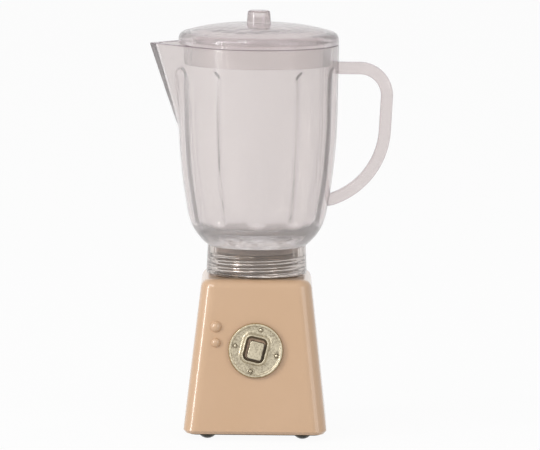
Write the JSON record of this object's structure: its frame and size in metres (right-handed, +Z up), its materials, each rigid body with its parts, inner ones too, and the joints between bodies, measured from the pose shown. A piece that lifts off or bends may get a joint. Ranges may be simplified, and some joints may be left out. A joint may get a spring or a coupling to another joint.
{
  "type": "toy blender",
  "caption": "Doll's-house toy blender: enamelled metal base with a push button, threaded neck, clear ribbed jug with spout and handle, and a lift-off lid.",
  "frame": {"origin": "on the shared axis of the jug and the base, at floor level between the four feet", "axes": "+Z up along the jug's axis, +X towards the handle, -X towards the spout, -Y out of the switch plate"},
  "size_m": [0.0404, 0.0264, 0.07],
  "materials": {
    "peach_enamel": "gloss",
    "dark_bronze": "dark antique",
    "foot_bronze": "dark antique",
    "antique_brass": "antique, cast",
    "antique_brass_button": "antique, cast",
    "spring_steel": "plain",
    "nickel_steel": "turned",
    "clear_seal": "clear",
    "clear_plastic": "clear gloss"
  },
  "bodies": {
    "base": {"base_housing": "peach_enamel", "base_plate": "dark_bronze", "foot_front_left": "foot_bronze", "foot_front_right": "foot_bronze", "foot_rear_left": "foot_bronze", "foot_rear_right": "foot_bronze", "switch_plate": "antique_brass", "switch_rivet_top": "antique_brass", "switch_rivet_right": "antique_brass", "switch_rivet_bottom": "antique_brass", "switch_rivet_left": "antique_brass", "button_spring": "spring_steel", "neck_ring": "nickel_steel", "neck_washer": "nickel_steel", "neck_screw": "nickel_steel"},
    "button": {"switch_button": "antique_brass_button", "button_clip": "spring_steel"},
    "seal": {"jug_seal": "clear_seal"},
    "jug": {"jug": "clear_plastic", "jug_handle": "clear_plastic"},
    "lid": {"lid": "clear_plastic", "lid_knob": "clear_plastic"}
  },
  "joints": [
    {"name": "switch_press", "type": "slide", "parent": "base", "child": "button", "axis": [0, 0.9937, -0.1123], "range_m": [0, 0.0006], "stiffness_N_per_m": 300, "springref_m": -0.0004, "deforming": ["button_spring"]},
    {"name": "jug_lift", "type": "slide", "parent": "base", "child": "seal", "axis": [0, 0, 1], "range_m": [0, 0.0055]},
    {"name": "jug_turn", "type": "hinge", "parent": "seal", "child": "jug", "pos_m": [0, 0, 0.031], "axis": [0, 0, 1], "range_deg": [0, 1800]},
    {"name": "lid_lift", "type": "slide", "parent": "jug", "child": "lid", "axis": [0, 0, 1], "range_m": [0, 0.012]}
  ],
  "couplings": [
    {"joint": "jug_lift", "follows": "jug_turn", "m_per_rad": 0.00017507}
  ]
}
